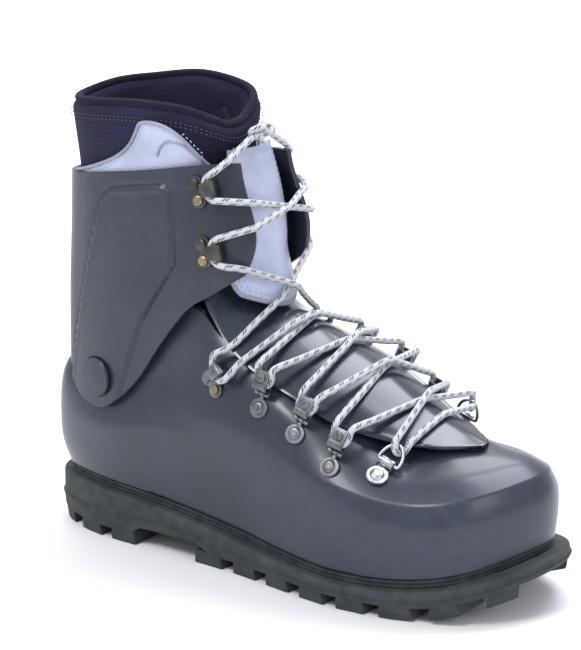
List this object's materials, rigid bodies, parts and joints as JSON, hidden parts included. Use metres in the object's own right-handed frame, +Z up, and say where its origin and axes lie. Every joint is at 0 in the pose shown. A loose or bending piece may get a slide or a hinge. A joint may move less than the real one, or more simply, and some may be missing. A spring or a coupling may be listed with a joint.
{
  "type": "mountaineering boot",
  "caption": "Double mountaineering boot: lugged sole, rigid lower shell, hinged ankle cuff, padded inner boot and tongue, laced through roller guides, rings and hooks.",
  "frame": {"origin": "centre of the boot's bounding box, on the ground", "axes": "+X towards the toe, +Y towards the inner side of the foot, +Z up"},
  "size_m": [0.3318, 0.1236, 0.2715],
  "materials": {
    "shell_plastic": "semi-gloss moulded plastic, dark navy grey, lightly scuffed",
    "sole_rubber": "matte black rubber with a grey-green cast",
    "welt_rubber": "matte black rubber strip",
    "insole_board": "matte stiff board",
    "footbed_felt": "grey felt",
    "liner_fabric": "dark navy knitted fabric over foam",
    "tongue_plastic": "glossy flexible dark navy plastic",
    "tongue_panel": "silver-lilac coated fabric",
    "pivot_disc": "dark moulded disc",
    "steel": "worn zinc-plated steel",
    "nickel": "bright nickel plating",
    "dark_metal": "dark bronze-coloured plating",
    "brass": "worn brass",
    "lace_cord": "white braided cord with dark flecks"
  },
  "bodies": {
    "shell": {"outsole": "sole_rubber", "midsole": "welt_rubber", "lower_shell": "shell_plastic", "insole_board": "insole_board", "liner_foot": "liner_fabric", "footbed": "footbed_felt", "tongue_lower": "tongue_plastic", "tongue_flap": "tongue_panel", "pivot_rivet_lateral": "pivot_disc", "pivot_rivet_medial": "pivot_disc", "guide_base_lateral_1": "steel", "guide_base_lateral_2": "steel", "guide_base_lateral_3": "steel", "ring_base_lateral": "nickel", "locking_hook_lateral": "steel", "locking_hook_lateral_rivet_a": "steel", "locking_hook_lateral_rivet_b": "brass", "guide_base_medial_1": "steel", "guide_base_medial_2": "steel", "guide_base_medial_3": "steel", "ring_base_medial": "nickel", "locking_hook_medial": "steel", "locking_hook_medial_rivet_a": "steel", "locking_hook_medial_rivet_b": "brass", "lace_lower": "lace_cord", "lace_ankle_lateral": "lace_cord", "lace_ankle_medial": "lace_cord"},
    "cuff": {"cuff": "shell_plastic", "liner_collar": "liner_fabric", "tongue_upper": "tongue_panel", "cuff_hook_lateral_1": "dark_metal", "cuff_hook_lateral_1_rivet_a": "steel", "cuff_hook_lateral_1_rivet_b": "brass", "cuff_hook_lateral_2": "dark_metal", "cuff_hook_lateral_2_rivet_a": "steel", "cuff_hook_lateral_2_rivet_b": "brass", "cuff_hook_medial_1": "dark_metal", "cuff_hook_medial_1_rivet_a": "steel", "cuff_hook_medial_1_rivet_b": "brass", "cuff_hook_medial_2": "dark_metal", "cuff_hook_medial_2_rivet_a": "steel", "cuff_hook_medial_2_rivet_b": "brass", "lace_upper_lateral": "lace_cord", "lace_upper_medial": "lace_cord", "lace_knot": "lace_cord"},
    "guide_lateral_1": {"guide_bracket_lateral_1": "steel"},
    "roller_lateral_1": {"guide_roller_lateral_1": "steel"},
    "guide_lateral_2": {"guide_bracket_lateral_2": "steel"},
    "roller_lateral_2": {"guide_roller_lateral_2": "steel"},
    "guide_lateral_3": {"guide_bracket_lateral_3": "steel"},
    "roller_lateral_3": {"guide_roller_lateral_3": "steel"},
    "ring_lateral": {"d_ring_lateral": "nickel"},
    "guide_medial_1": {"guide_bracket_medial_1": "steel"},
    "roller_medial_1": {"guide_roller_medial_1": "steel"},
    "guide_medial_2": {"guide_bracket_medial_2": "steel"},
    "roller_medial_2": {"guide_roller_medial_2": "steel"},
    "guide_medial_3": {"guide_bracket_medial_3": "steel"},
    "roller_medial_3": {"guide_roller_medial_3": "steel"},
    "ring_medial": {"d_ring_medial": "nickel"}
  },
  "joints": [
    {"name": "cuff_hinge", "type": "hinge", "parent": "shell", "child": "cuff", "pos_m": [-0.1145, -0.0005, 0.101], "axis": [0, 1, 0], "range_deg": [-5, 5], "stiffness_Nm_per_rad": 15, "deforming": ["lace_ankle_lateral", "lace_ankle_medial"]},
    {"name": "guide_hinge_lateral_1", "type": "hinge", "parent": "shell", "child": "guide_lateral_1", "pos_m": [0.00712, -0.04942, 0.11254], "axis": [0.9813, -0.0561, -0.1839], "range_deg": [-6, 30], "deforming": ["lace_lower"]},
    {"name": "roller_spin_lateral_1", "type": "hinge", "parent": "guide_lateral_1", "child": "roller_lateral_1", "pos_m": [0.00891, -0.05026, 0.12234], "axis": [-0.0177, -0.9788, 0.2039], "continuous": true},
    {"name": "guide_hinge_lateral_2", "type": "hinge", "parent": "shell", "child": "guide_lateral_2", "pos_m": [0.03336, -0.0509, 0.10208], "axis": [0.9432, -0.0072, -0.3321], "range_deg": [-6, 30], "deforming": ["lace_lower"]},
    {"name": "roller_spin_lateral_2", "type": "hinge", "parent": "guide_lateral_2", "child": "roller_lateral_2", "pos_m": [0.03668, -0.05041, 0.1115], "axis": [0.102, -0.9452, 0.3102], "continuous": true},
    {"name": "guide_hinge_lateral_3", "type": "hinge", "parent": "shell", "child": "guide_lateral_3", "pos_m": [0.05672, -0.05333, 0.08818], "axis": [0.9659, -0.0147, -0.2584], "range_deg": [-6, 30], "deforming": ["lace_lower"]},
    {"name": "roller_spin_lateral_3", "type": "hinge", "parent": "guide_lateral_3", "child": "roller_lateral_3", "pos_m": [0.0593, -0.05225, 0.09778], "axis": [0.0856, -0.9241, 0.3725], "continuous": true},
    {"name": "ring_hinge_lateral", "type": "hinge", "parent": "shell", "child": "ring_lateral", "pos_m": [0.08222, -0.04065, 0.08338], "axis": [0.9338, -0.0386, -0.3557], "range_deg": [-15, 40], "deforming": ["lace_lower"]},
    {"name": "guide_hinge_medial_1", "type": "hinge", "parent": "shell", "child": "guide_medial_1", "pos_m": [0.01047, 0.04902, 0.11412], "axis": [-0.9167, -0.1817, 0.3559], "range_deg": [-6, 30], "deforming": ["lace_lower"]},
    {"name": "roller_spin_medial_1", "type": "hinge", "parent": "guide_medial_1", "child": "roller_medial_1", "pos_m": [0.01361, 0.05124, 0.12335], "axis": [-0.1489, 0.9818, 0.1178], "continuous": true},
    {"name": "guide_hinge_medial_2", "type": "hinge", "parent": "shell", "child": "guide_medial_2", "pos_m": [0.03528, 0.05326, 0.10409], "axis": [-0.9311, -0.121, 0.3441], "range_deg": [-6, 30], "deforming": ["lace_lower"]},
    {"name": "roller_spin_medial_2", "type": "hinge", "parent": "guide_medial_2", "child": "roller_medial_2", "pos_m": [0.03825, 0.05623, 0.11316], "axis": [-0.1205, 0.9924, 0.023], "continuous": true},
    {"name": "guide_hinge_medial_3", "type": "hinge", "parent": "shell", "child": "guide_medial_3", "pos_m": [0.05912, 0.05202, 0.08995], "axis": [-0.9301, 0.0089, 0.3673], "range_deg": [-6, 30], "deforming": ["lace_lower"]},
    {"name": "roller_spin_medial_3", "type": "hinge", "parent": "guide_medial_3", "child": "roller_medial_3", "pos_m": [0.06278, 0.05134, 0.09923], "axis": [0.1346, 0.9385, 0.318], "continuous": true},
    {"name": "ring_hinge_medial", "type": "hinge", "parent": "shell", "child": "ring_medial", "pos_m": [0.08517, 0.04475, 0.08753], "axis": [-0.9198, -0.0095, 0.3922], "range_deg": [-15, 40], "deforming": ["lace_lower"]}
  ]
}
